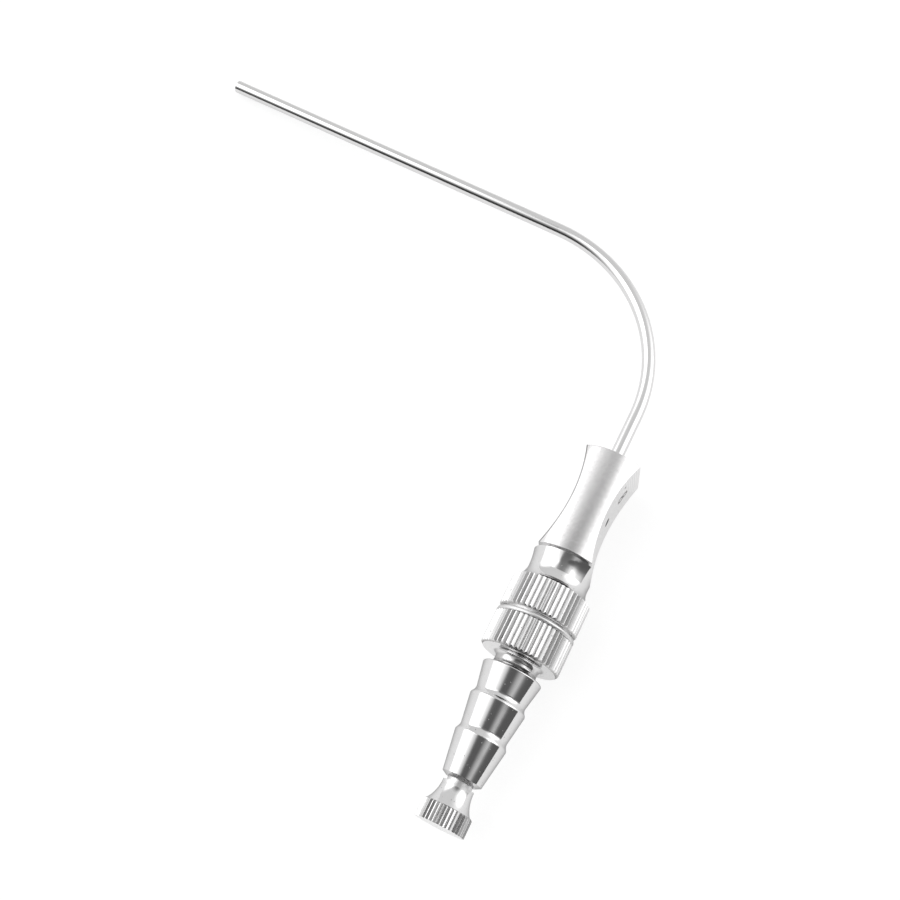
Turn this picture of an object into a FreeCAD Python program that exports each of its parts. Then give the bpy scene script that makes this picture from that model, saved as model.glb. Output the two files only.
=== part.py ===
import FreeCAD, Part
import Sketcher
import math
import os

# Frazier suction tube with its stylet, lying at rest, in millimetres
# Every piece is drawn in one instrument frame: Z runs along the handle from the seam
# between the two collars to the grip, and the tube bends toward minus X

doc = FreeCAD.newDocument("SuctionTube")
Vec = FreeCAD.Vector

# Driving dimensions
sizes = doc.addObject("Spreadsheet::Sheet", "Sizes")
driving_dimensions = [
    ("tube_diameter", 2.67),
    ("tube_wall", 0.32),
    ("tube_seat_depth", 8.0),
    ("tube_reach", 11.6),
    ("bend_radius", 32.4),
    ("bend_angle", 87.0),
    ("leg_length", 79.7),
    ("braze_gap", 0.02),
    ("bar_diameter", 15.1),
    ("grip_length", 21.15),
    ("grip_edge_round", 0.15),
    ("vent_side_flat_depth", 3.79),
    ("vent_side_hollow_radius", 35.2),
    ("vent_side_waist_height", 22.2),
    ("rear_side_flat_depth", 4.15),
    ("rear_side_hollow_radius", 31.8),
    ("rear_side_waist_height", 23.2),
    ("flat_turn", 3.3),
    ("vent_diameter", 1.7),
    ("vent_height", 22.9),
    ("channel_diameter", 3.2),
    ("collar_length", 6.3),
    ("knurl_teeth", 48),
    ("knurl_depth", 0.33),
    ("knurl_half_angle", 52.0),
    ("knurl_turn", 1.5),
    ("knurl_bevel", 0.45),
    ("neck_length", 6.15),
    ("neck_waist_depth", 1.7),
    ("neck_waist_height", 2.7),
    ("neck_top_depth", 1.25),
    ("neck_foot_depth", 0.45),
    ("thread_diameter", 9.0),
    ("thread_length", 6.8),
    ("thread_clearance", 0.1),
    ("socket_relief", 0.5),
    ("seam_gap", 0.35),
    ("seam_neck_depth", 0.95),
    ("lip_width", 1.0),
    ("lip_foot_depth", 0.45),
    ("connector_knurl_length", 6.4),
    ("stem_diameter", 8.2),
    ("stem_length", 2.5),
    ("stem_round", 1.1),
    ("barb_shoulder_length", 1.0),
    ("barb_valley_round", 1.3),
    ("first_barb_length", 5.15),
    ("first_barb_rim_diameter", 11.4),
    ("first_barb_foot_diameter", 9.3),
    ("second_barb_length", 5.8),
    ("second_barb_rim_diameter", 10.6),
    ("second_barb_foot_diameter", 8.75),
    ("third_barb_length", 7.35),
    ("third_barb_rim_diameter", 9.8),
    ("third_barb_foot_diameter", 7.4),
    ("barb_end_bevel", 0.55),
    ("barb_end_diameter", 5.4),
    ("first_rim_round", 0.3),
    ("rim_round", 0.6),
    ("connector_bore", 4.8),
    ("plug_clearance", 0.05),
    ("plug_depth", 7.0),
    ("plug_taper_length", 1.5),
    ("knob_gap", 0.7),
    ("cone_length", 4.1),
    ("cone_top_diameter", 5.86),
    ("cone_foot_diameter", 8.3),
    ("cone_hollow", 0.36),
    ("knob_diameter", 9.25),
    ("knob_thickness", 3.45),
    ("knob_top_bevel", 0.25),
    ("knob_foot_bevel", 0.08),
    ("knob_teeth", 39),
    ("knob_knurl_depth", 0.25),
    ("knob_knurl_turn", 2.4),
    ("wire_diameter", 0.9),
    ("wire_seat_depth", 5.0),
    ("wire_clearance", 0.02),
    ("wire_protrusion", 0.5),
    ("wire_end_round", 0.35),
    ("cutter_overrun", 0.3),
]
for row, (alias, value) in enumerate(driving_dimensions, start=1):
    sizes.set(f"A{row}", alias)
    sizes.set(f"B{row}", str(value))
    sizes.setAlias(f"B{row}", alias)
doc.recompute()


def size(alias):
    return f"Sizes.{alias}"


def half(alias):
    return f"(Sizes.{alias} / 2)"


def value_of(expression):
    return float(sizes.evalExpression(expression))


# Stations along the handle, measured from the seam
COLLAR_TOP = size("collar_length")
NECK_WAIST = f"({COLLAR_TOP} + {size('neck_waist_height')})"
GRIP_FOOT = f"({COLLAR_TOP} + {size('neck_length')})"
GRIP_TOP = f"({GRIP_FOOT} + {size('grip_length')})"
TUBE_FOOT = f"({GRIP_TOP} - {size('tube_seat_depth')})"
BEND_START = f"({GRIP_TOP} + {size('tube_reach')})"
SOCKET_END = f"({size('thread_length')} + {size('socket_relief')})"

# Stations along the hose connector, below the seam
LIP_TOP = f"(-{size('seam_gap')})"
LIP_FOOT = f"({LIP_TOP} - {size('lip_width')})"
KNURL_FOOT = f"({LIP_FOOT} - {size('connector_knurl_length')})"
FIRST_RIM = f"({KNURL_FOOT} - {size('stem_length')})"
FIRST_FOOT = f"({FIRST_RIM} - {size('first_barb_length')})"
SECOND_RIM = f"({FIRST_FOOT} - {size('barb_shoulder_length')})"
SECOND_FOOT = f"({SECOND_RIM} - {size('second_barb_length')})"
THIRD_RIM = f"({SECOND_FOOT} - {size('barb_shoulder_length')})"
THIRD_FOOT = f"({THIRD_RIM} - {size('third_barb_length')})"
BARB_END = f"({THIRD_FOOT} - {size('barb_end_bevel')})"

# Stations along the stylet knob
CONE_TOP = f"({BARB_END} - {size('knob_gap')})"
CONE_FOOT = f"({CONE_TOP} - {size('cone_length')})"
KNOB_FOOT = f"({CONE_FOOT} - {size('knob_thickness')})"
PLUG_END = f"({BARB_END} + {size('plug_depth')})"
WIRE_FOOT = f"({PLUG_END} - {size('wire_seat_depth')})"

KNURL_ROOT = f"({half('bar_diameter')} - {size('knurl_depth')})"


def arc_radius(reach, depth):
    """Radius of an arc that leaves its tangent by depth over a length of reach."""
    return f"(({reach}^2 + {depth}^2) / (2 * {depth}))"


def new_body(label):
    body = doc.addObject("PartDesign::Body", label)
    body.Label = label
    return body


def origin_feature(body, role):
    for feature in body.Origin.OriginFeatures:
        if feature.Role == role:
            return feature
    raise ValueError(role)


def new_sketch(body, name, plane):
    sketch = body.newObject("Sketcher::SketchObject", name)
    sketch.AttachmentSupport = [(origin_feature(body, plane), "")]
    sketch.MapMode = "FlatFace"
    return sketch


def bind(sketch, constraint, name, expression):
    index = sketch.addConstraint(constraint)
    sketch.renameConstraint(index, name)
    sketch.setExpression(f"Constraints.{name}", expression)


def turn_sketch(sketch, angle):
    """Turn an upright sketch about the handle's axis, by an angle in degrees."""
    origin = "create(<<vector>>; 0; 0; 0)"
    handle_axis = "create(<<vector>>; 0; 1; 0)"
    turned = f"create(<<rotation>>; {handle_axis}; {angle})"
    sketch.setExpression("AttachmentOffset", f"create(<<placement>>; {origin}; {turned})")
    doc.recompute()


def arc_between(start, end, radius, side):
    """Arc whose centre lies to the left (1) or to the right (-1) of the way from start to end."""
    chord = end - start
    to_centre = math.sqrt(radius**2 - (chord.Length / 2) ** 2)
    normal = Vec(-chord.y, chord.x, 0).normalize()
    centre = (start + end) * 0.5 + normal * (side * to_centre)
    first, last = (start, end) if side > 0 else (end, start)
    first_angle = math.atan2(first.y - centre.y, first.x - centre.x)
    last_angle = math.atan2(last.y - centre.y, last.x - centre.x)
    if last_angle < first_angle:
        last_angle += 2 * math.pi
    return Part.ArcOfCircle(Part.Circle(centre, Vec(0, 0, 1), radius), first_angle, last_angle)


def draw_outline(sketch, corners):
    """Closed outline through (name, radius, height) corners. A fourth entry, (radius, side),
    makes an arc of the edge that leaves the corner."""
    points = [Vec(value_of(corner[1]), value_of(corner[2]), 0) for corner in corners]
    leaving = []
    arriving = []
    for index, corner in enumerate(corners):
        start = points[index]
        end = points[(index + 1) % len(corners)]
        side = 1
        edge = Part.LineSegment(start, end)
        if len(corner) == 4:
            side = corner[3][1]
            edge = arc_between(start, end, value_of(corner[3][0]), side)
        sketch.addGeometry(edge, False)
        leaving.append(1 if side > 0 else 2)
        arriving.append(2 if side > 0 else 1)
    for index in range(len(corners)):
        following = (index + 1) % len(corners)
        joint = Sketcher.Constraint("Coincident", index, arriving[index], following, leaving[following])
        sketch.addConstraint(joint)
    for index, corner in enumerate(corners):
        across = Sketcher.Constraint("DistanceX", -1, 1, index, leaving[index], points[index].x)
        along = Sketcher.Constraint("DistanceY", -1, 1, index, leaving[index], points[index].y)
        bind(sketch, across, f"{corner[0]}_radius", corner[1])
        bind(sketch, along, f"{corner[0]}_height", corner[2])
        if len(corner) == 4:
            curve = Sketcher.Constraint("Radius", index, value_of(corner[3][0]))
            bind(sketch, curve, f"{corner[0]}_curve", corner[3][0])
    doc.recompute()


def revolve(body, name, corners):
    sketch = new_sketch(body, f"{name}_outline", "XZ_Plane")
    draw_outline(sketch, corners)
    feature = body.newObject("PartDesign::Revolution", name)
    feature.Profile = sketch
    feature.ReferenceAxis = (sketch, ["V_Axis"])
    feature.Angle = 360.0
    sketch.Visibility = False
    doc.recompute()
    return feature


def knurl(body, name, crest_radius, depth, foot, length, teeth, turn):
    """Straight V grooves, cut from foot upward and repeated round the axis, the first at turn."""
    sketch = new_sketch(body, f"{name}_groove", "XY_Plane")
    root = f"({crest_radius} - {depth})"
    outer = f"({crest_radius} + {size('cutter_overrun')})"
    half_width = f"(({outer} - {root}) * tan({size('knurl_half_angle')} * 1 deg))"
    draw_outline(sketch, [
        ("root", root, "0"),
        ("lower", outer, f"-{half_width}"),
        ("upper", outer, half_width),
    ])
    start = f"create(<<vector>>; 0; 0; {foot} - {size('cutter_overrun')})"
    handle_axis = "create(<<vector>>; 0; 0; 1)"
    turned = f"create(<<rotation>>; {handle_axis}; {turn})"
    sketch.setExpression("AttachmentOffset", f"create(<<placement>>; {start}; {turned})")
    doc.recompute()
    groove = body.newObject("PartDesign::Pocket", f"{name}_cut")
    groove.Profile = sketch
    groove.Reversed = True
    groove.setExpression("Length", f"{length} + {size('cutter_overrun')}")
    sketch.Visibility = False
    doc.recompute()
    pattern = body.newObject("PartDesign::PolarPattern", name)
    pattern.Originals = [groove]
    pattern.Axis = (origin_feature(body, "Z_Axis"), [""])
    pattern.Angle = 360.0
    pattern.Occurrences = int(value_of(teeth))
    pattern.setExpression("Occurrences", teeth)
    body.Tip = pattern
    doc.recompute()
    return pattern


def hollow_flat(body, name, side, foot, depth, hollow_radius, waist_height):
    """Finger flat hollowed across one side of the grip, from foot to beyond the grip's top."""
    sketch = new_sketch(body, f"{name}_outline", "XZ_Plane")
    turn_sketch(sketch, f"-{size('flat_turn')}")
    top = f"({GRIP_TOP} + {size('cutter_overrun')})"
    outside = f"({half('bar_diameter')} + {size('cutter_overrun')}) * {side}"
    centre = f"({half('bar_diameter')} - {depth} + {hollow_radius})"
    foot_half = f"({centre} - sqrt({hollow_radius}^2 - ({foot} - {waist_height})^2)) * {side}"
    top_half = f"({centre} - sqrt({hollow_radius}^2 - ({top} - {waist_height})^2)) * {side}"
    draw_outline(sketch, [
        ("foot", foot_half, foot, (hollow_radius, -side)),
        ("top", top_half, top),
        ("outer_top", outside, top),
        ("outer_foot", outside, foot),
    ])
    cut = body.newObject("PartDesign::Pocket", name)
    cut.Profile = sketch
    cut.Midplane = True
    cut.setExpression("Length", f"{size('bar_diameter')} + {size('cutter_overrun')}")
    sketch.Visibility = False
    doc.recompute()
    return cut


def round_edges(body, name, base, radius, rings):
    """Round the circular edges of base that lie at the given (radius, height) rings."""
    names = []
    for ring_radius, ring_height in rings:
        for index, edge in enumerate(base.Shape.Edges, start=1):
            if not isinstance(edge.Curve, Part.Circle):
                continue
            same_radius = abs(edge.Curve.Radius - value_of(ring_radius)) < 1e-4
            same_height = abs(edge.Curve.Center.z - value_of(ring_height)) < 1e-4
            if same_radius and same_height:
                names.append(f"Edge{index}")
    feature = body.newObject("PartDesign::Fillet", name)
    feature.Base = (base, names)
    feature.Radius = value_of(radius)
    feature.setExpression("Radius", radius)
    body.Tip = feature
    doc.recompute()
    return feature


def bent_path(sketch, foot, extra_length):
    """Centre line of the tube from foot to its tip, lengthened by extra_length."""
    foot_height = value_of(foot)
    bend_height = value_of(BEND_START)
    radius = value_of(size("bend_radius"))
    turn = math.radians(value_of(size("bend_angle")))
    leg = value_of(f"{size('leg_length')} + {extra_length}")
    centre = Vec(-radius, bend_height, 0)
    bend_end = centre + Vec(radius * math.cos(turn), radius * math.sin(turn), 0)
    tip = bend_end + Vec(-leg * math.sin(turn), leg * math.cos(turn), 0)
    sketch.addGeometry(Part.LineSegment(Vec(0, foot_height, 0), Vec(0, bend_height, 0)), False)
    sketch.addGeometry(Part.ArcOfCircle(Part.Circle(centre, Vec(0, 0, 1), radius), 0, turn), False)
    sketch.addGeometry(Part.LineSegment(bend_end, tip), False)
    sketch.addConstraint(Sketcher.Constraint("PointOnObject", 0, 1, -2))
    sketch.addConstraint(Sketcher.Constraint("PointOnObject", 0, 2, -2))
    sketch.addConstraint(Sketcher.Constraint("Tangent", 0, 2, 1, 1))
    sketch.addConstraint(Sketcher.Constraint("Tangent", 1, 2, 2, 1))
    bind(sketch, Sketcher.Constraint("DistanceY", -1, 1, 0, 1, foot_height), "foot", foot)
    bind(sketch, Sketcher.Constraint("DistanceY", -1, 1, 0, 2, bend_height), "bend_start", BEND_START)
    bind(sketch, Sketcher.Constraint("Radius", 1, radius), "bend", size("bend_radius"))
    bind(sketch, Sketcher.Constraint("Distance", 2, leg), "leg", f"{size('leg_length')} + {extra_length}")
    turned = Sketcher.Constraint("Angle", 0, 1, 2, 1, turn)
    bind(sketch, turned, "turn", f"{size('bend_angle')} * 1 deg")
    doc.recompute()


def add_pipe(body, name, foot, extra_length, radii):
    """Round pipe or rod along the bent path; radii are its outer and, if hollow, inner radius."""
    path = new_sketch(body, f"{name}_path", "XZ_Plane")
    bent_path(path, foot, extra_length)
    section = new_sketch(body, f"{name}_section", "XY_Plane")
    for index, radius in enumerate(radii):
        section.addGeometry(Part.Circle(Vec(0, 0, 0), Vec(0, 0, 1), value_of(radius)), False)
        section.addConstraint(Sketcher.Constraint("Coincident", index, 3, -1, 1))
        bind(section, Sketcher.Constraint("Radius", index, value_of(radius)), f"radius_{index}", radius)
    section.setExpression("AttachmentOffset.Base.z", foot)
    doc.recompute()
    pipe = body.newObject("PartDesign::AdditivePipe", name)
    pipe.Profile = section
    pipe.Spine = (path, ["Edge1", "Edge2", "Edge3"])
    path.Visibility = False
    section.Visibility = False
    doc.recompute()
    return pipe


def make_suction_tube():
    body = new_body("suction_tube")
    bore_radius = f"({half('tube_diameter')} - {size('tube_wall')})"
    add_pipe(body, "tube", TUBE_FOOT, "0", [half("tube_diameter"), bore_radius])
    return body


def make_handle():
    body = new_body("handle")
    bar = half("bar_diameter")
    socket = f"({half('thread_diameter')} + {size('thread_clearance')})"
    channel = half("channel_diameter")
    tube_seat = f"({half('tube_diameter')} + {size('braze_gap')})"
    bevel = size("knurl_bevel")
    neck_waist = f"({bar} - {size('neck_waist_depth')})"
    neck_top = f"({bar} - {size('neck_top_depth')})"
    neck_foot = f"({bar} - {size('neck_foot_depth')})"
    foot_curve = arc_radius(size("neck_waist_height"), f"({neck_foot} - {neck_waist})")
    top_rise = f"({size('neck_length')} - {size('neck_waist_height')})"
    top_curve = arc_radius(top_rise, f"({neck_top} - {neck_waist})")
    turned = revolve(body, "turned_bar", [
        ("mouth", socket, "0"),
        ("foot", f"({bar} - {bevel})", "0"),
        ("bevel", bar, bevel),
        ("collar_top", bar, COLLAR_TOP),
        ("neck_foot", neck_foot, COLLAR_TOP, (foot_curve, -1)),
        ("neck_waist", neck_waist, NECK_WAIST, (top_curve, -1)),
        ("neck_top", neck_top, GRIP_FOOT),
        ("grip_foot", bar, GRIP_FOOT),
        ("grip_top", bar, GRIP_TOP),
        ("tube_mouth", tube_seat, GRIP_TOP),
        ("tube_foot", tube_seat, TUBE_FOOT),
        ("channel_top", channel, TUBE_FOOT),
        ("channel_foot", channel, SOCKET_END),
        ("socket_end", socket, SOCKET_END),
    ])
    round_edges(body, "grip_rims", turned, size("grip_edge_round"), [(bar, GRIP_TOP), (bar, GRIP_FOOT)])
    hollow_flat(body, "vent_side_flat", 1, COLLAR_TOP, size("vent_side_flat_depth"),
                size("vent_side_hollow_radius"), size("vent_side_waist_height"))
    hollow_flat(body, "rear_side_flat", -1, GRIP_FOOT, size("rear_side_flat_depth"),
                size("rear_side_hollow_radius"), size("rear_side_waist_height"))
    vent = new_sketch(body, "vent_circle", "YZ_Plane")
    turn_sketch(vent, f"-{size('flat_turn')}")
    vent_height = value_of(size("vent_height"))
    vent_radius = value_of(half("vent_diameter"))
    vent.addGeometry(Part.Circle(Vec(0, vent_height, 0), Vec(0, 0, 1), vent_radius), False)
    vent.addConstraint(Sketcher.Constraint("PointOnObject", 0, 3, -2))
    bind(vent, Sketcher.Constraint("DistanceY", -1, 1, 0, 3, vent_height), "height", size("vent_height"))
    bind(vent, Sketcher.Constraint("Radius", 0, vent_radius), "vent", half("vent_diameter"))
    vent_hole = body.newObject("PartDesign::Pocket", "vent_hole")
    vent_hole.Profile = vent
    vent_hole.Reversed = True
    vent_hole.setExpression("Length", bar)
    vent.Visibility = False
    doc.recompute()
    knurl(body, "collar_knurl", bar, size("knurl_depth"), "0", COLLAR_TOP,
          size("knurl_teeth"), f"-{size('knurl_turn')}")
    return body


def make_hose_connector():
    body = new_body("hose_connector")
    bar = half("bar_diameter")
    bore = half("connector_bore")
    thread = half("thread_diameter")
    seam_neck = f"({bar} - {size('seam_neck_depth')})"
    lip_foot = f"({bar} - {size('lip_foot_depth')})"
    bevel = size("knurl_bevel")
    stem = half("stem_diameter")
    lip_curve = arc_radius(half("lip_width"), size("lip_foot_depth"))
    turned = revolve(body, "turned_connector", [
        ("bore_top", bore, size("thread_length")),
        ("bore_foot", bore, BARB_END),
        ("barb_end", half("barb_end_diameter"), BARB_END),
        ("third_foot", half("third_barb_foot_diameter"), THIRD_FOOT),
        ("third_rim", half("third_barb_rim_diameter"), THIRD_RIM),
        ("second_foot", half("second_barb_foot_diameter"), SECOND_FOOT),
        ("second_rim", half("second_barb_rim_diameter"), SECOND_RIM),
        ("first_foot", half("first_barb_foot_diameter"), FIRST_FOOT),
        ("first_rim", half("first_barb_rim_diameter"), FIRST_RIM),
        ("stem_foot", stem, FIRST_RIM),
        ("stem_top", stem, KNURL_FOOT),
        ("knurl_foot", f"({bar} - {bevel})", KNURL_FOOT),
        ("knurl_bevel", bar, f"({KNURL_FOOT} + {bevel})"),
        ("knurl_top", bar, LIP_FOOT),
        ("lip_foot", lip_foot, LIP_FOOT, (lip_curve, 1)),
        ("lip_top", lip_foot, LIP_TOP),
        ("seam_foot", seam_neck, LIP_TOP),
        ("seam_top", seam_neck, "0"),
        ("thread_foot", thread, "0"),
        ("thread_top", thread, size("thread_length")),
    ])
    hollows = round_edges(body, "barb_valleys", turned, size("barb_valley_round"), [
        (half("first_barb_foot_diameter"), FIRST_FOOT),
        (half("second_barb_foot_diameter"), SECOND_FOOT),
    ])
    rims = round_edges(body, "barb_rims", hollows, size("rim_round"), [
        (half("second_barb_rim_diameter"), SECOND_RIM),
        (half("third_barb_rim_diameter"), THIRD_RIM),
    ])
    first_rim = round_edges(body, "first_barb_rim", rims, size("first_rim_round"), [
        (half("first_barb_rim_diameter"), FIRST_RIM),
    ])
    round_edges(body, "stem_ends", first_rim, size("stem_round"), [
        (stem, FIRST_RIM),
        (stem, KNURL_FOOT),
    ])
    knurl(body, "connector_knurl", bar, size("knurl_depth"), KNURL_FOOT,
          size("connector_knurl_length"), size("knurl_teeth"), f"-{size('knurl_turn')}")
    return body


def make_stylet_knob():
    body = new_body("stylet_knob")
    plug = f"({half('connector_bore')} - {size('plug_clearance')})"
    wire_hole = f"({half('wire_diameter')} + {size('wire_clearance')})"
    cone_top = half("cone_top_diameter")
    cone_foot = half("cone_foot_diameter")
    head = half("knob_diameter")
    foot_bevel = size("knob_foot_bevel")
    top_bevel = size("knob_top_bevel")
    half_chord = f"(sqrt({size('cone_length')}^2 + ({cone_foot} - {cone_top})^2) / 2)"
    cone_curve = arc_radius(half_chord, size("cone_hollow"))
    revolve(body, "turned_knob", [
        ("foot", f"({head} - {foot_bevel})", KNOB_FOOT),
        ("rim", head, f"({KNOB_FOOT} + {foot_bevel})"),
        ("head_top", head, f"({CONE_FOOT} - {top_bevel})"),
        ("top_bevel", f"({head} - {top_bevel})", CONE_FOOT),
        ("cone_foot", cone_foot, CONE_FOOT, (cone_curve, -1)),
        ("cone_top", cone_top, CONE_TOP),
        ("plug_foot", plug, CONE_TOP),
        ("plug_shoulder", plug, f"({PLUG_END} - {size('plug_taper_length')})"),
        ("plug_end", f"({plug} - {size('plug_taper_length')} / 2)", PLUG_END),
        ("wire_mouth", wire_hole, PLUG_END),
        ("wire_foot", wire_hole, WIRE_FOOT),
        ("wire_axis", "0", WIRE_FOOT),
        ("foot_axis", "0", KNOB_FOOT),
    ])
    knurl(body, "knob_knurl", head, size("knob_knurl_depth"), KNOB_FOOT,
          size("knob_thickness"), size("knob_teeth"), size("knob_knurl_turn"))
    return body


def make_stylet_wire():
    body = new_body("stylet_wire")
    pipe = add_pipe(body, "wire", WIRE_FOOT, size("wire_protrusion"), [half("wire_diameter")])
    turn = math.radians(value_of(size("bend_angle")))
    tip_edge = None
    farthest = None
    for index, edge in enumerate(pipe.Shape.Edges, start=1):
        if not isinstance(edge.Curve, Part.Circle) or len(edge.Vertexes) != 1:
            continue
        along_leg = -edge.CenterOfMass.x * math.sin(turn)
        if farthest is None or along_leg > farthest:
            farthest = along_leg
            tip_edge = f"Edge{index}"
    end_round = body.newObject("PartDesign::Fillet", "tip_round")
    end_round.Base = (pipe, [tip_edge])
    end_round.Radius = value_of(size("wire_end_round"))
    end_round.setExpression("Radius", size("wire_end_round"))
    body.Tip = end_round
    doc.recompute()
    return body


pieces = [
    make_suction_tube(),
    make_handle(),
    make_hose_connector(),
    make_stylet_knob(),
    make_stylet_wire(),
]

# Lying at rest: the handle along Y on its collars and grip, the tube tip on the ground
bend_turn = math.radians(value_of(size("bend_angle")))
reach_across = value_of(size("bend_radius")) * (1 - math.cos(bend_turn))
reach_across += value_of(size("leg_length")) * math.sin(bend_turn)
drop = value_of(half("bar_diameter")) - value_of(half("tube_diameter"))
lean = math.degrees(math.asin(drop / reach_across))
laid_down = FreeCAD.Rotation(Vec(1, 0, 0), -90)
leaned = FreeCAD.Rotation(Vec(0, 1, 0), -lean)
pose = leaned.multiply(laid_down)
for piece in pieces:
    piece.Placement = FreeCAD.Placement(Vec(0, 0, 0), pose)
doc.recompute()

# The origin is under the middle of the whole instrument
whole = Part.makeCompound([piece.Shape for piece in pieces]).optimalBoundingBox(False)
to_origin = Vec(-whole.Center.x, -whole.Center.y, -whole.ZMin)
for piece in pieces:
    piece.Placement = FreeCAD.Placement(to_origin, pose)
doc.recompute()

for entry in doc.Objects:
    if "Invalid" in entry.State or "Error" in entry.State:
        raise RuntimeError(f"{entry.Label} is {entry.State}")

os.makedirs("parts", exist_ok=True)
for piece in pieces:
    if piece.Shape.isNull() or not piece.Shape.isValid():
        raise RuntimeError(f"{piece.Label} has no valid shape")
    if len(piece.Shape.Solids) != 1:
        raise RuntimeError(f"{piece.Label} has {len(piece.Shape.Solids)} solids")
    piece.Shape.exportStep(f"parts/{piece.Label}.step")
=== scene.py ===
import math
from collections import namedtuple

import bpy
from mathutils import Matrix, Vector

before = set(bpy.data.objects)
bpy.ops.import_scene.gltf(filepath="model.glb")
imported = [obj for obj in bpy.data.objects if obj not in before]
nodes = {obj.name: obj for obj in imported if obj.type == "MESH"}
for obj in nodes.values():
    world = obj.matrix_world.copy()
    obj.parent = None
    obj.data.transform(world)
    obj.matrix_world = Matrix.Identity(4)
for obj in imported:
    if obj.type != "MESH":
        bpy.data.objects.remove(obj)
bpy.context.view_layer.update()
scene = bpy.context.scene

MM = 0.001
MM_PER_METRE = 1000.0

# Handle axis, seen from above: along Y at this X and Z, in millimetres, and the seam's Y
AXIS_X = 51.539
AXIS_Z = 7.55
SEAM_Y = -21.855


# Camera: the photograph's viewing angle, with the focal length in pixels of the image's width
SENSOR_WIDTH = 36.0
FOCAL_PIXELS = 1209.97
IMAGE_PIXELS = 900.0
EYE = Vector((58.067, -76.369, 220.934)) * MM
RIGHT = Vector((0.89578, 0.4443, 0.01298))
DOWN = Vector((0.41706, -0.83003, -0.37027))
AHEAD = Vector((-0.15374, 0.3371, -0.92883))

camera_data = bpy.data.cameras.new("camera")
camera_data.sensor_width = SENSOR_WIDTH
camera_data.lens = SENSOR_WIDTH * FOCAL_PIXELS / IMAGE_PIXELS
camera_data.clip_start = 0.01
camera_data.clip_end = 20.0
camera = bpy.data.objects.new("camera", camera_data)
scene.collection.objects.link(camera)
scene.camera = camera
turned = Matrix((RIGHT, -DOWN, -AHEAD)).transposed().to_4x4()
camera.matrix_world = Matrix.Translation(EYE) @ turned


class Graph:
    """Shader node tree with short calls for its nodes."""

    def __init__(self, owner):
        owner.use_nodes = True
        self.tree = owner.node_tree
        self.tree.nodes.clear()

    def node(self, kind, settings=(), **inputs):
        made = self.tree.nodes.new(kind)
        for name, value in dict(settings).items():
            setattr(made, name, value)
        for name, value in inputs.items():
            self.feed(made.inputs[name.replace("_", " ")], value)
        return made

    def feed(self, socket, value):
        if isinstance(value, bpy.types.NodeSocket):
            self.tree.links.new(value, socket)
        else:
            socket.default_value = value

    def math(self, operation, first, second=0.0, third=0.0):
        made = self.tree.nodes.new("ShaderNodeMath")
        made.operation = operation
        for socket, value in zip(made.inputs, (first, second, third)):
            self.feed(socket, value)
        return made.outputs[0]

    def product(self, first, second):
        return self.math("MULTIPLY", first, second)

    def minus(self, first, second):
        return self.math("SUBTRACT", first, second)

    def either(self, first, second):
        return self.math("MAXIMUM", first, second)

    def total(self, base, *shares):
        """Base plus the product of each (value, factor)."""
        for value, factor in shares:
            base = self.math("MULTIPLY_ADD", value, factor, base)
        return base

    def length(self, first, second):
        return self.math("SQRT", self.total(self.product(second, second), (first, first)))

    def ramp(self, value, low, high, to_low=0.0, to_high=1.0):
        """Smooth step of value from low to high."""
        made = self.tree.nodes.new("ShaderNodeMapRange")
        made.interpolation_type = "SMOOTHERSTEP"
        for name, entry in (("Value", value), ("From Min", low), ("From Max", high),
                            ("To Min", to_low), ("To Max", to_high)):
            self.feed(made.inputs[name], entry)
        return made.outputs["Result"]

    def below(self, value, low, high):
        """1 up to low, fading to 0 at high."""
        return self.ramp(value, low, high, 1.0, 0.0)

    def band(self, value, start, full_start, full_end, end):
        """1 between full_start and full_end, fading to 0 at start and end."""
        return self.product(self.ramp(value, start, full_start), self.below(value, full_end, end))

    def mix(self, kind, sockets, share, first, second):
        made = self.tree.nodes.new("ShaderNodeMix")
        made.data_type = kind
        for index, value in zip(sockets, (share, first, second)):
            self.feed(made.inputs[index], value)
        return made

    def blend(self, share, first, second):
        """Number between first and second."""
        return self.mix("FLOAT", (0, 2, 3), share, first, second).outputs[0]

    def blend_color(self, share, first, second):
        """Colour between first and second."""
        return self.mix("RGBA", (0, 6, 7), share, first, second).outputs[2]

    def vector(self, operation, first, second):
        made = self.tree.nodes.new("ShaderNodeVectorMath")
        made.operation = operation
        self.feed(made.inputs[0], first)
        self.feed(made.inputs[1], second)
        return made

    def dot(self, first, second):
        return self.vector("DOT_PRODUCT", first, second).outputs["Value"]

    def joined(self, x, y, z):
        return self.node("ShaderNodeCombineXYZ", X=x, Y=y, Z=z).outputs[0]

    def place(self):
        """The object's own coordinates, in millimetres."""
        coords = self.node("ShaderNodeTexCoord")
        split = self.node("ShaderNodeSeparateXYZ", Vector=coords.outputs["Object"])
        return [self.product(axis, MM_PER_METRE) for axis in split.outputs]

    def noise(self, place, scale, detail):
        return self.node("ShaderNodeTexNoise", Vector=place, Scale=scale, Detail=detail).outputs[0]


def grey(value):
    return (value, value, value, 1.0)


# The studio: a white tent with bright panels left and right, open and dark towards the camera.
# Each patch of it is a band of turn and a band of elevation, in degrees
LEFT_PANEL = ((-178.0, -125.0, -76.0, -50.0), (-8.0, 24.0, 64.0, 76.8))
LEFT_LIGHT = 2.2
RIGHT_PANEL = ((-2.8, 60.0, 84.0, 108.0), (-12.0, 24.0, 42.0, 70.0))
RIGHT_LIGHT = 2.0
OPENING = ((-120.0, -83.6, 23.2, 88.9), (-10.0, 2.0, 24.0, 63.0))
OPENING_FADE = (30.0, 84.0, 0.05, 0.20)
DARK_STRIP = ((64.2, 96.0, 96.1, 106.0), (-10.0, 2.0, 75.0, 90.0))
TOP_STRIP = ((88.0, 94.0, 99.0, 105.0), (46.0, 54.0, 75.0, 90.0))
STRIP_LIGHT = 0.112
TENT_FADE = (60.0, 81.0, 0.756, 0.30)
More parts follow.
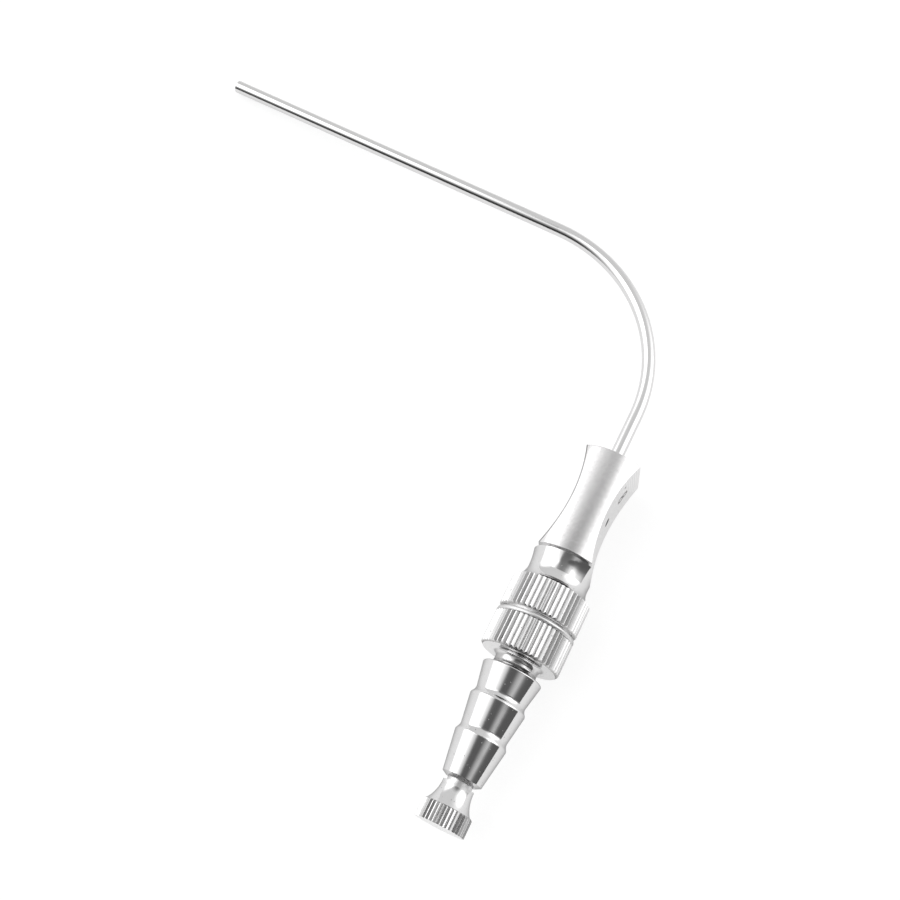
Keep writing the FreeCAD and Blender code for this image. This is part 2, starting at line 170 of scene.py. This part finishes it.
BACKDROP_LIGHT = 1.0


def patch(g, turn, elevation, bands):
    return g.product(g.band(turn, *bands[0]), g.band(elevation, *bands[1]))


world = bpy.data.worlds.new("studio")
scene.world = world
g = Graph(world)
coords = g.node("ShaderNodeTexCoord")
dx, dy, dz = g.node("ShaderNodeSeparateXYZ", Vector=coords.outputs["Generated"]).outputs
elevation = g.product(g.math("ARCSINE", dz), 180 / math.pi)
azimuth = g.product(g.math("ARCTAN2", dx, dy), 180 / math.pi)
# Azimuth from the camera's side, so that the dark opening does not cross the wrap
opening_turn = g.math("ARCTAN2", g.product(dx, -1.0), g.product(dy, -1.0))
opening_turn = g.product(opening_turn, 180 / math.pi)
opening_light = g.ramp(g.math("ABSOLUTE", opening_turn), *OPENING_FADE)
strips = g.either(patch(g, azimuth, elevation, DARK_STRIP), patch(g, azimuth, elevation, TOP_STRIP))
light = g.ramp(elevation, *TENT_FADE)
light = g.blend(patch(g, azimuth, elevation, LEFT_PANEL), light, LEFT_LIGHT)
light = g.blend(patch(g, azimuth, elevation, RIGHT_PANEL), light, RIGHT_LIGHT)
light = g.blend(patch(g, opening_turn, elevation, OPENING), light, opening_light)
light = g.blend(strips, light, STRIP_LIGHT)
light = g.blend(g.node("ShaderNodeLightPath").outputs["Is Camera Ray"], light, BACKDROP_LIGHT)
background = g.node("ShaderNodeBackground", Color=grey(1.0), Strength=light)
g.node("ShaderNodeOutputWorld", Surface=background.outputs[0])


def stage_square(name, half_side):
    """Level square at the origin, linked to the scene."""
    corners = [(-half_side, -half_side, 0), (half_side, -half_side, 0),
               (half_side, half_side, 0), (-half_side, half_side, 0)]
    mesh = bpy.data.meshes.new(name)
    mesh.from_pydata(corners, [], [(0, 1, 2, 3)])
    piece = bpy.data.objects.new(name, mesh)
    scene.collection.objects.link(piece)
    return piece


# Floor: white paper, which the camera sees a little brighter than the metal does
FLOOR_HALF_SIDE = 3.0
PAPER_COLOR = grey(0.85)
MIRRORED_COLOR, SEEN_COLOR = grey(0.5), grey(0.26)
MIRRORED_GLOW, SEEN_GLOW = 0.52, 0.82

floor = stage_square("floor", FLOOR_HALF_SIDE)
paper = bpy.data.materials.new("paper")
g = Graph(paper)
path = g.node("ShaderNodeLightPath").outputs
shown = g.blend_color(path["Is Camera Ray"], MIRRORED_COLOR, SEEN_COLOR)
glow = g.node("ShaderNodeEmission", Color=grey(1.0),
              Strength=g.blend(path["Is Camera Ray"], MIRRORED_GLOW, SEEN_GLOW))
lit = g.node("ShaderNodeAddShader")
g.feed(lit.inputs[0], g.node("ShaderNodeBsdfDiffuse", Color=shown).outputs[0])
g.feed(lit.inputs[1], glow.outputs[0])
direct = g.either(path["Is Camera Ray"], path["Is Glossy Ray"])
direct = g.either(direct, path["Is Transmission Ray"])
pick = g.node("ShaderNodeMixShader", Fac=direct)
g.feed(pick.inputs[1], g.node("ShaderNodeBsdfDiffuse", Color=PAPER_COLOR).outputs[0])
g.feed(pick.inputs[2], lit.outputs[0])
g.node("ShaderNodeOutputMaterial", Surface=pick.outputs[0])
floor.data.materials.append(paper)


# The dark round of the lens and its holder, which only the metal sees. It is dark within the
# core and fades out to an edge that is nearer on one side, in millimetres
LENS_PLACE = Vector((61.5, -100.0, 240.0)) * MM
LENS_HALF_SIDE = 360 * MM
LENS_CORE = 36.0
LENS_EDGE = 244.0
LENS_EDGE_LEAN = (-52.7, -80.0)
LENS_GLOW = 0.119

lens = stage_square("lens_card", LENS_HALF_SIDE)
lens.location = LENS_PLACE
black = bpy.data.materials.new("lens_black")
g = Graph(black)
x, y, z = g.place()
reach = g.either(g.length(x, y), 0.001)
edge = g.total(LENS_EDGE, (g.math("DIVIDE", x, reach), LENS_EDGE_LEAN[0]),
               (g.math("DIVIDE", y, reach), LENS_EDGE_LEAN[1]))
faded = g.math("DIVIDE", g.minus(reach, LENS_CORE), g.minus(edge, LENS_CORE))
share = g.minus(1.0, g.either(g.math("MINIMUM", faded, 1.0), 0.0))
pick = g.node("ShaderNodeMixShader", Fac=share)
g.feed(pick.inputs[1], g.node("ShaderNodeBsdfTransparent").outputs[0])
dark = g.node("ShaderNodeEmission", Color=grey(LENS_GLOW), Strength=1.0)
g.feed(pick.inputs[2], dark.outputs[0])
g.node("ShaderNodeOutputMaterial", Surface=pick.outputs[0])
lens.data.materials.append(black)
for ray_kind in ("camera", "diffuse", "transmission", "volume_scatter", "shadow"):
    setattr(lens, f"visible_{ray_kind}", False)


# Steel finishes. Lengths in the materials are millimetres, measured in the model's frame
STEEL_LIGHT = (0.82, 0.817, 0.818, 1.0)
STEEL_DARK = (0.70, 0.696, 0.697, 1.0)
SATIN_LIGHT = (0.76, 0.753, 0.755, 1.0)
SATIN_DARK = (0.69, 0.682, 0.685, 1.0)
FLAT_LIGHT = (0.90, 0.895, 0.895, 1.0)
FLAT_DARK = (0.55, 0.545, 0.545, 1.0)
# Soot colour of the pits, also used for painted shade in the knurl roots and on the stem
SOOT_AND_SHADE = (0.22, 0.215, 0.21, 1.0)
SATIN_SPECK = (0.35, 0.345, 0.34, 1.0)
SATIN_SCRATCH = (0.45, 0.445, 0.44, 1.0)
TUBE_SCRATCH = (0.5, 0.497, 0.495, 1.0)
EDGE_SHADE = (0.20, 0.198, 0.197, 1.0)
ENGRAVED_SHADE = (0.16, 0.157, 0.155, 1.0)

# Share of a mirror's light that polished steel keeps near grazing incidence, and satin steel
EDGE_POLISHED = 0.52
EDGE_SATIN = 1.0


def handle_place(g):
    """Offset sideways from the handle's axis, station above the seam, and offset upward."""
    x, y, z = g.place()
    return g.minus(x, AXIS_X), g.minus(y, SEAM_Y), g.minus(z, AXIS_Z)


def turning_lines(g, side, station, rise, pitch):
    """Fine rings of the lathe round the handle's axis."""
    stretch = 0.12
    place = g.joined(g.product(side, stretch), g.math("DIVIDE", station, pitch),
                     g.product(rise, stretch))
    return g.noise(place, scale=1.0, detail=3.0)


def pits(g, place, density, radius):
    """Scattered round specks, 1 inside them and 0 elsewhere."""
    cells = g.node("ShaderNodeTexVoronoi", {"feature": "F1"}, Vector=place, Scale=density)
    chosen = g.node("ShaderNodeSeparateColor", Color=cells.outputs["Color"]).outputs[0]
    reach = radius * density
    limit = g.product(g.ramp(chosen, 0.55, 1.0), reach)
    return g.ramp(g.minus(limit, cells.outputs["Distance"]), 0.0, 0.25 * reach)


def scratches(g, place, angle, stretch, share):
    """Thin straight marks along one direction, 1 on them and 0 elsewhere."""
    turned = g.node("ShaderNodeMapping", Vector=place)
    turned.inputs["Rotation"].default_value = angle
    turned.inputs["Scale"].default_value = stretch
    streak = g.noise(turned.outputs[0], scale=1.0, detail=1.0)
    return g.ramp(streak, share, share + 0.04)


def side_edge(g):
    """Edge tint of polished steel: darker near grazing, except on faces square to the handle."""
    normal = g.node("ShaderNodeNewGeometry").outputs["True Normal"]
    square = g.ramp(g.math("ABSOLUTE", g.dot(normal, (0.0, 1.0, 0.0))), 0.90, 0.97)
    return g.blend(square, EDGE_POLISHED, 1.0)


def finish_steel(g, color, roughness, height, edge):
    """Principled steel with its height, in millimetres, as bump, and its edge tint."""
    relief = g.node("ShaderNodeBump", Height=g.product(height, MM), Distance=1.0, Strength=1.0)
    shader = g.node("ShaderNodeBsdfPrincipled", Metallic=1.0, Roughness=roughness,
                    Base_Color=color, Specular_Tint=g.joined(edge, edge, edge),
                    Normal=relief.outputs[0])
    g.node("ShaderNodeOutputMaterial", Surface=shader.outputs[0])


def polished_turned(g, side, station, rise, place):
    """Colour, roughness and height of mirror-polished steel turned on a lathe."""
    rings = turning_lines(g, side, station, rise, pitch=0.16)
    smear = g.noise(place, scale=0.35, detail=3.0)
    cloud = g.noise(place, scale=1.6, detail=4.0)
    specks = g.either(pits(g, place, density=0.8, radius=0.15),
                      pits(g, place, density=1.7, radius=0.09))
    tone = g.total(0.0, (smear, 0.55), (cloud, 0.30))
    color = g.blend_color(tone, STEEL_LIGHT, STEEL_DARK)
    color = g.blend_color(g.product(specks, 0.75), color, SOOT_AND_SHADE)
    roughness = g.total(0.05, (g.ramp(smear, 0.35, 0.75), 0.05), (rings, 0.03), (specks, 0.25))
    height = g.total(0.0, (rings, 0.0006), (smear, 0.008), (specks, -0.025))
    return color, roughness, height


# Knurls: radius at the root and at the crest of the teeth, station of the foot and of the top
Knurl = namedtuple("Knurl", "root crest foot top")
COLLAR_KNURL = Knurl(7.22, 7.55, 0.0, 6.3)
CONNECTOR_KNURL = Knurl(7.22, 7.55, -7.75, -1.35)
KNOB_KNURL = Knurl(4.375, 4.625, -39.35, -35.9)


def knurl_shade_and_wear(g, station, radius, knurl, color, roughness):
    """Painted shade and extra roughness in the roots, and worn crests of a knurl."""
    knurled = g.band(station, knurl.foot + 0.01, knurl.foot + 0.05,
                     knurl.top - 0.05, knurl.top - 0.01)
    root_end = knurl.root + 0.85 * (knurl.crest - knurl.root)
    low = g.product(knurled, g.below(radius, knurl.root, root_end))
    worn = g.product(knurled, g.ramp(radius, knurl.crest - 0.04, knurl.crest))
    # Painted shade between the teeth: roots and lower flanks darkened toward the soot colour
    color = g.blend_color(g.product(low, 0.42), color, SOOT_AND_SHADE)
    color = g.blend_color(g.product(worn, 0.5), color, STEEL_LIGHT)
    return color, g.total(roughness, (knurled, 0.13), (low, 0.08), (worn, 0.05))


# Engraved 8: centre, half width and half height of each loop, with the line's thickness, and
# then where the 8 and its dot lie, as rise and station
NUMERAL_LOOPS = ((-0.66, 0.78, 0.68), (0.66, 0.64, 0.62))
NUMERAL_THICKNESS = 0.34
NUMERAL_PLACE = (0.6, 28.7)
DOT_PLACE = (3.7, 29.4)
DOT_RADII = (0.22, 0.4)


def numeral_eight(g, across, along):
    """Share of an engraved 8, upright along the handle, centred at zero."""
    inked = None
    for centre, half_width, half_height in NUMERAL_LOOPS:
        u = g.math("DIVIDE", across, half_width)
        v = g.math("DIVIDE", g.minus(along, centre), half_height)
        off = g.math("ABSOLUTE", g.minus(g.length(u, v), 1.0))
        width = NUMERAL_THICKNESS / half_height
        ring = g.below(off, 0.5 * width, 0.9 * width)
        inked = ring if inked is None else g.either(inked, ring)
    return inked


# Grip: station of its foot, and the mill's arcs on the flats
GRIP_FOOT = 12.45
FLAT_RADII = (7.30, 7.42)
CUTTER_CENTRE = 2.0
CUTTER_PITCH = 0.62

# Direction square to the flats, toward the vent, as shares of sideways and upward. The rear
# flat is hollowed to a cylinder, whose axis lies beyond the bar at the station of the waist
VENT_WAY = (0.9935, 0.1137)
REAR_HOLLOW_RADIUS = 31.8
REAR_HOLLOW_AXIS = -35.2
REAR_WAIST = 23.2
# Distances from the hollow, in millimetres, over which the painted shade along the rear flat's edge
# fades out
BROKEN_EDGE_SHADE_REACH = (0.12, 0.30)


def satin_grip(g, side, station, rise, radius, place):
    """Colour, roughness and height of the satin grip, its milled flats and its numeral."""
    grain = g.noise(g.joined(g.product(side, 2.4), g.product(station, 1.7),
                             g.product(rise, 2.4)), scale=1.0, detail=3.0)
    mottle = g.noise(place, scale=1.1, detail=3.0)
    lines = turning_lines(g, side, station, rise, pitch=0.11)
    marks = g.either(
        scratches(g, place, angle=(0.3, 0.2, 0.5), stretch=(0.35, 14.0, 6.0), share=0.70),
        scratches(g, place, angle=(-0.4, 0.6, -0.7), stretch=(0.30, 12.0, 7.0), share=0.71))
    tone = g.total(0.0, (g.ramp(mottle, 0.3, 0.7), 0.4), (g.ramp(grain, 0.32, 0.68), 0.4))
    color = g.blend_color(tone, SATIN_LIGHT, SATIN_DARK)
    specks = pits(g, place, density=0.9, radius=0.10)
    color = g.blend_color(g.product(specks, 0.5), color, SATIN_SPECK)
    color = g.blend_color(g.product(marks, 0.35), color, SATIN_SCRATCH)

    # Flats: arcs left by the cutter, clearest near the grip's top
    on_flat = g.below(radius, *FLAT_RADII)
    arc = g.length(g.minus(station, CUTTER_CENTRE), rise)
    arc = g.total(arc, (g.noise(place, scale=0.25, detail=2.0), 0.35))
    cutter = g.math("SINE", g.product(arc, 2 * math.pi / CUTTER_PITCH))
    near_top = g.ramp(station, 21.0, 29.0, 0.25, 1.0)
    milled = g.product(g.product(cutter, near_top), on_flat)
    color = g.blend_color(g.product(on_flat, 0.75), color, FLAT_LIGHT)
    color = g.blend_color(g.total(g.product(on_flat, 0.12), (milled, 0.16)), color, FLAT_DARK)

    # Painted shade along the broken edge of the rear flat
    toward_vent = g.total(g.product(rise, VENT_WAY[1]), (side, VENT_WAY[0]))
    from_hollow = g.length(g.minus(toward_vent, REAR_HOLLOW_AXIS), g.minus(station, REAR_WAIST))
    rear_edge_shade = g.below(g.minus(from_hollow, REAR_HOLLOW_RADIUS), *BROKEN_EDGE_SHADE_REACH)
    rear_edge_shade = g.product(rear_edge_shade, g.ramp(radius, 7.35, 7.45))
    color = g.blend_color(g.product(rear_edge_shade, 0.9), color, EDGE_SHADE)

    # Engraved numeral with its dot, on the side of the vent
    vent_side = g.ramp(side, 1.0, 1.5)
    numeral = numeral_eight(g, g.minus(rise, NUMERAL_PLACE[0]), g.minus(station, NUMERAL_PLACE[1]))
    dot = g.length(g.minus(rise, DOT_PLACE[0]), g.minus(station, DOT_PLACE[1]))
    engraved = g.product(g.either(numeral, g.below(dot, *DOT_RADII)), vent_side)
    color = g.blend_color(g.product(engraved, 0.9), color, ENGRAVED_SHADE)

    roughness = g.total(0.15, (mottle, 0.08), (grain, 0.10), (engraved, 0.2))
    height = g.total(0.0, (grain, 0.0024), (lines, 0.0018), (marks, -0.004), (milled, 0.006),
                     (engraved, -0.03))
    return color, roughness, height


def handle_material():
    """Mirror-polished collar and neck, and satin grip."""
    material = bpy.data.materials.new("satin_handle")
    g = Graph(material)
    side, station, rise = handle_place(g)
    place = g.joined(side, station, rise)
    radius = g.length(side, rise)
    polish_color, polish_roughness, polish_height = polished_turned(g, side, station, rise, place)
    polish_color, polish_roughness = knurl_shade_and_wear(g, station, radius, COLLAR_KNURL,
                                                polish_color, polish_roughness)
    satin_color, satin_roughness, satin_height = satin_grip(g, side, station, rise, radius, place)
    satin = g.ramp(station, GRIP_FOOT - 0.05, GRIP_FOOT + 0.02)
    finish_steel(g, g.blend_color(satin, polish_color, satin_color),
                 g.blend(satin, polish_roughness, satin_roughness),
                 g.blend(satin, polish_height, satin_height),
                 g.blend(satin, side_edge(g), EDGE_SATIN))
    return material


# Bands of stations below the seam: the collar's lip, the gap above the knob, and the stem
LIP = (-1.40, -1.30, -0.03, 0.0)
KNOB_GAP = (-32.6, -32.2, -31.12, -31.05)
STEM = (-10.1, -9.6, -8.6, -8.0)


def polished_material(name, knurl):
    """Mirror-polished turned steel with a knurl."""
    material = bpy.data.materials.new(name)
    g = Graph(material)
    side, station, rise = handle_place(g)
    place = g.joined(side, station, rise)
    color, roughness, height = polished_turned(g, side, station, rise, place)
    color, roughness = knurl_shade_and_wear(g, station, g.length(side, rise), knurl, color, roughness)
    # The collar's lip and the faces of the gap above the knob are left dull by the lathe
    dull = g.either(g.band(station, *LIP), g.band(station, *KNOB_GAP))
    color = g.blend_color(g.product(dull, 0.6), color, STEEL_LIGHT)
    roughness = g.total(roughness, (dull, 0.32))
    # Painted shade: darker patches by noise on the groove of the stem
    stem_shade = g.ramp(g.noise(place, scale=0.8, detail=3.0), 0.3, 0.6, 0.12, 0.42)
    color = g.blend_color(g.product(g.band(station, *STEM), stem_shade), color, SOOT_AND_SHADE)
    finish_steel(g, color, roughness, height, side_edge(g))
    return material


# The tube's bend, in the frame of its own plane: across toward the tip, along the handle, and out
TIP_WAY = (0.99841, 0.0, 0.05635)
HANDLE_WAY = (0.0, 1.0, 0.0)
OUT_WAY = (-0.05635, 0.0, 0.99841)
BEND_CENTRE = (19.190, 23.345, 5.724)
BEND_RADIUS = 32.4
BEND_TURN = math.radians(87.0)


def tube_place(g):
    """Position along the tube, across it in the plane of the bend, and out of that plane."""
    coords = g.node("ShaderNodeTexCoord").outputs["Object"]
    scaled = g.vector("MULTIPLY", coords, (MM_PER_METRE,) * 3).outputs["Vector"]
    offset = g.vector("SUBTRACT", scaled, BEND_CENTRE).outputs["Vector"]
    u, v, out = (g.dot(offset, way) for way in (TIP_WAY, HANDLE_WAY, OUT_WAY))
    turn = g.math("MINIMUM", g.either(g.math("ARCTAN2", v, u), 0.0), BEND_TURN)
    cosine, sine = g.math("COSINE", turn), g.math("SINE", turn)
    across = g.minus(g.math("ADD", g.product(u, cosine), g.product(v, sine)), BEND_RADIUS)
    past_turn = g.minus(g.product(v, cosine), g.product(u, sine))
    return g.total(past_turn, (turn, BEND_RADIUS)), across, out


def drawn_material(name, line_pitch, rough, specked):
    """Drawn steel: fine lines along the tube or wire, a few specks and short scratches."""
    material = bpy.data.materials.new(name)
    g = Graph(material)
    along, across, out = tube_place(g)
    place = g.joined(along, across, out)
    drawn = g.noise(g.joined(g.product(along, 0.10), g.math("DIVIDE", across, line_pitch),
                             g.math("DIVIDE", out, line_pitch)), scale=1.0, detail=3.0)
    smear = g.noise(g.joined(g.product(along, 0.3), across, out), scale=0.5, detail=3.0)
    cloud = g.noise(place, scale=1.8, detail=4.0)
    specks = g.product(pits(g, place, density=1.1, radius=0.07), specked)
    marks = scratches(g, place, angle=(0.2, 0.0, 0.3), stretch=(0.5, 9.0, 9.0), share=0.72)
    tone = g.total(0.0, (smear, 0.4), (cloud, 0.25), (drawn, 0.25))
    color = g.blend_color(tone, STEEL_LIGHT, STEEL_DARK)
    color = g.blend_color(g.product(specks, 0.7), color, SOOT_AND_SHADE)
    color = g.blend_color(g.product(marks, 0.2), color, TUBE_SCRATCH)
    roughness = g.total(rough, (smear, 0.06), (drawn, 0.05), (g.either(specks, marks), 0.15))
    height = g.total(0.0, (smear, 0.006), (drawn, 0.0009), (specks, -0.006))
    finish_steel(g, color, roughness, height, EDGE_SATIN)
    return material


finishes = {
    "suction_tube": drawn_material("drawn_tube_steel", line_pitch=0.14, rough=0.06, specked=1.0),
    "handle": handle_material(),
    "hose_connector": polished_material("polished_connector_steel", CONNECTOR_KNURL),
    "stylet_knob": polished_material("polished_knob_steel", KNOB_KNURL),
    "stylet_wire": drawn_material("drawn_wire_steel", line_pitch=0.06, rough=0.16, specked=0.3),
}
for name, finish in finishes.items():
    nodes[name].data.materials.clear()
    nodes[name].data.materials.append(finish)

scene.view_settings.view_transform = "Standard"
